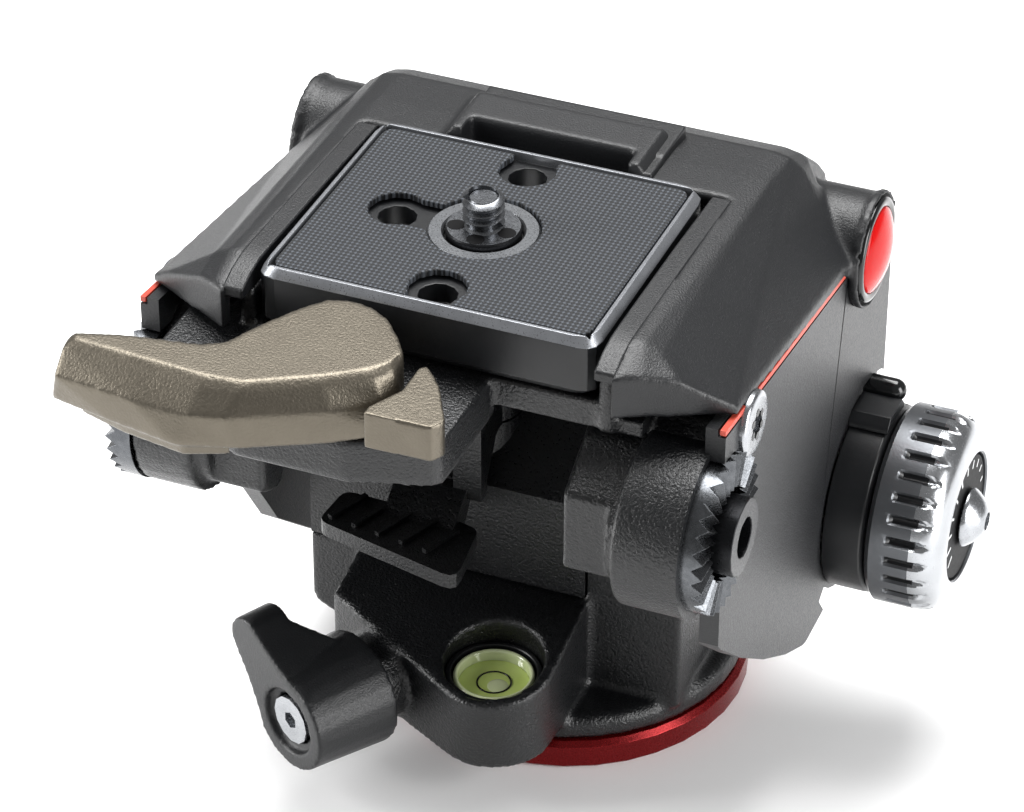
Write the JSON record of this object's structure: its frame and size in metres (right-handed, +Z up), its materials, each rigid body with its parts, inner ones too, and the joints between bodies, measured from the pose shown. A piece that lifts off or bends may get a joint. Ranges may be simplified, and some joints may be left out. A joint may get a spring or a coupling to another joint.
{
  "type": "two-way photo head",
  "caption": "Pan and tilt head for a tripod: red base disc, panning drum body, tilting cheek platform with quick release plate, drag knob, lock levers and handle rosettes.",
  "frame": {"origin": "centre of the base disc's underside, on the pan axis, where the tripod's seat and thread meet the head", "axes": "+Z up along the pan axis; +X to the right, where the drag selector knob is; +Y to the front, where the lens looks; -Y to the rear, where the handle rosettes and the plate's locking lever are"},
  "size_m": [0.1163, 0.1196, 0.11],
  "materials": {
    "red_anodised": "glossy dark red anodised",
    "cast_black": "fine textured black casting paint",
    "moulded_black": "fine grained black moulding",
    "satin_black": "satin black",
    "pad_rubber": "fine ribbed",
    "steel": "bright",
    "black_steel": "black oxide",
    "brass": "machined",
    "champagne": "sandy metallic champagne",
    "turned_aluminium": "machined silver",
    "red_enamel": "glossy red dome",
    "salmon_paint": "salmon red line",
    "vial_green": "clear green-yellow level vial"
  },
  "bodies": {
    "base": {"base_disc": "red_anodised", "pan_spindle": "steel", "base_screw_1": "black_steel", "base_screw_2": "black_steel", "base_screw_3": "black_steel", "pan_thrust_ring": "brass", "pan_spring_washer": "black_steel", "pan_nut": "steel"},
    "pan_body": {"pan_housing": "cast_black", "tilt_housing": "moulded_black", "left_tilt_bush": "brass", "right_tilt_bush": "brass", "tilt_clamp_band": "steel", "lever_stop_pin": "black_steel", "bubble_ring": "moulded_black", "bubble_vial": "vial_green", "pan_lock_pad": "brass"},
    "pan_lock": {"pan_lock_knob": "moulded_black", "pan_lock_stud": "steel"},
    "tilt_lock": {"tilt_lock_lever": "cast_black", "tilt_lock_stud": "steel"},
    "tilt_body": {"tilt_shaft": "steel", "drag_cartridge": "satin_black", "platform_carrier": "cast_black", "top_shell": "moulded_black", "right_cheek": "moulded_black", "right_stripe": "salmon_paint", "right_rosette": "steel", "right_rosette_hub": "black_steel", "right_badge": "red_enamel", "right_cheek_screw": "steel", "left_cheek": "moulded_black", "left_stripe": "salmon_paint", "left_rosette": "steel", "left_rosette_hub": "black_steel", "left_badge": "red_enamel", "left_cheek_screw": "steel", "drag_collar": "satin_black", "drag_pointer": "satin_black", "selector_stop_pin": "black_steel", "lever_pivot_screw": "black_steel", "lever_spring": "steel", "catch_pin": "black_steel"},
    "selector": {"drag_knob": "turned_aluminium", "drag_dial": "satin_black", "drag_knob_screw": "steel"},
    "lock_lever": {"locking_lever": "champagne"},
    "catch": {"safety_catch": "champagne"},
    "plate": {"quick_release_plate": "satin_black", "rubber_pad": "pad_rubber", "camera_screw_clip": "black_steel"},
    "screw": {"camera_screw": "steel"}
  },
  "joints": [
    {"name": "pan", "type": "hinge", "parent": "base", "child": "pan_body", "pos_m": [0, 0, 0], "axis": [0, 0, 1], "continuous": true},
    {"name": "tilt", "type": "hinge", "parent": "pan_body", "child": "tilt_body", "pos_m": [0, 0.009, 0.04], "axis": [-1, 0, 0], "range_deg": [-70, 90]},
    {"name": "pan_lock_turn", "type": "hinge", "parent": "pan_body", "child": "pan_lock", "pos_m": [0, 0, 0.0155], "axis": [-0.4726, -0.8813, 0], "range_deg": [-10, 60]},
    {"name": "tilt_lock_swing", "type": "hinge", "parent": "pan_body", "child": "tilt_lock", "pos_m": [-0.0115, -0.008, 0.05], "axis": [0, 0, 1], "range_deg": [-13, 13]},
    {"name": "drag_select", "type": "hinge", "parent": "tilt_body", "child": "selector", "pos_m": [0, 0.009, 0.04], "axis": [1, 0, 0], "range_deg": [0, 270]},
    {"name": "lock_lever_swing", "type": "hinge", "parent": "tilt_body", "child": "lock_lever", "pos_m": [-0.0086, -0.0706, 0.099], "axis": [0, 0, 1], "range_deg": [0, 55], "stiffness_Nm_per_rad": 0.02, "springref_deg": -17.19},
    {"name": "catch_swing", "type": "hinge", "parent": "tilt_body", "child": "catch", "pos_m": [0.0066, -0.0732, 0.099], "axis": [0, 0, 1], "range_deg": [0, 20]},
    {"name": "plate_lift", "type": "slide", "parent": "tilt_body", "child": "plate", "axis": [0, 0, 1], "range_m": [0, 0.03]},
    {"name": "camera_screw_turn", "type": "hinge", "parent": "plate", "child": "screw", "pos_m": [0, -0.0356, 0.1], "axis": [0, 0, 1], "continuous": true}
  ]
}
